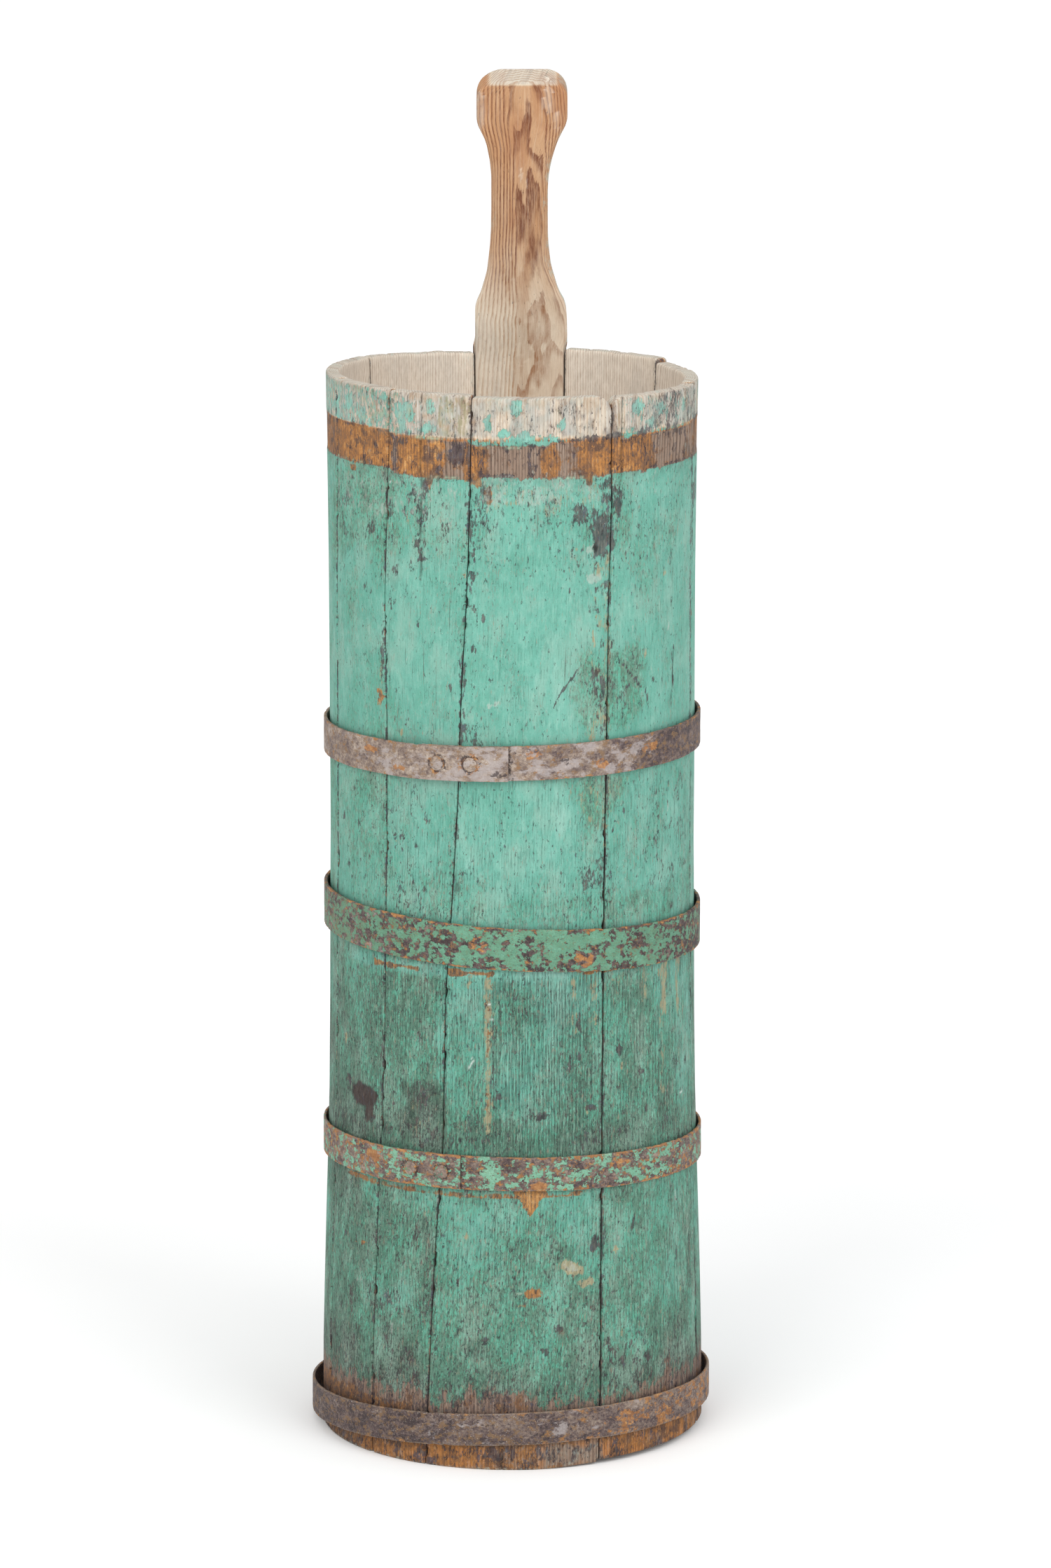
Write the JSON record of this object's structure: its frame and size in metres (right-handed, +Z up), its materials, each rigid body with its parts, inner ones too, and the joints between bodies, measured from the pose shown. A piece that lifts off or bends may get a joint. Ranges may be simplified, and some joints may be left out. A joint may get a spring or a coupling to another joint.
{
  "type": "butter churn",
  "caption": "Tall coopered wooden churn barrel, open at the top, with iron hoops, a boarded head and one stave carried up into a carved waisted handle.",
  "frame": {"origin": "on the barrel's axis at floor level, under the middle of the object's box", "axes": "+Z up the barrel, +Y towards the handle stave at the back, -Y the front, +X to the right seen from the front"},
  "size_m": [0.2794, 0.2815, 0.935],
  "materials": {
    "painted_wood": "worn matt turquoise-green paint over pine, raw wood and rust stains showing",
    "bare_wood": "dry unpainted pine with dark late-wood lines",
    "rusted_iron": "matt brown-grey rust patina",
    "painted_iron": "flaking green paint over brown rust"
  },
  "bodies": {
    "barrel": {"stave_front": "painted_wood", "stave_front_left": "painted_wood", "stave_front_right": "painted_wood", "stave_left_front": "painted_wood", "stave_left": "painted_wood", "stave_right": "painted_wood", "stave_back_left": "painted_wood", "stave_back_right": "painted_wood", "handle_stave": "bare_wood", "head_board_front": "bare_wood", "head_board_middle": "bare_wood", "head_board_back": "bare_wood", "head_dowel_front_left": "bare_wood", "head_dowel_front_right": "bare_wood", "head_dowel_back_left": "bare_wood", "head_dowel_back_right": "bare_wood"},
    "upper_hoop_set": {"upper_hoop": "rusted_iron", "upper_hoop_rivet_a": "rusted_iron", "upper_hoop_rivet_b": "rusted_iron"},
    "second_hoop_set": {"second_hoop": "painted_iron", "second_hoop_rivet_a": "painted_iron", "second_hoop_rivet_b": "painted_iron"},
    "third_hoop_set": {"third_hoop": "painted_iron", "third_hoop_rivet_a": "painted_iron", "third_hoop_rivet_b": "painted_iron"},
    "bottom_hoop_set": {"bottom_hoop": "rusted_iron", "bottom_hoop_rivet_a": "rusted_iron", "bottom_hoop_rivet_b": "rusted_iron"}
  },
  "joints": [
    {"name": "upper_hoop_slide", "type": "slide", "parent": "barrel", "child": "upper_hoop_set", "axis": [0, 0, 1], "range_m": [0, 0.205]},
    {"name": "second_hoop_slide", "type": "slide", "parent": "barrel", "child": "second_hoop_set", "axis": [0, 0, 1], "range_m": [0, 0.08]},
    {"name": "third_hoop_slide", "type": "slide", "parent": "barrel", "child": "third_hoop_set", "axis": [0, 0, 1], "range_m": [0, 0.11]},
    {"name": "bottom_hoop_slide", "type": "slide", "parent": "barrel", "child": "bottom_hoop_set", "axis": [0, 0, 1], "range_m": [0, 0.14]}
  ]
}
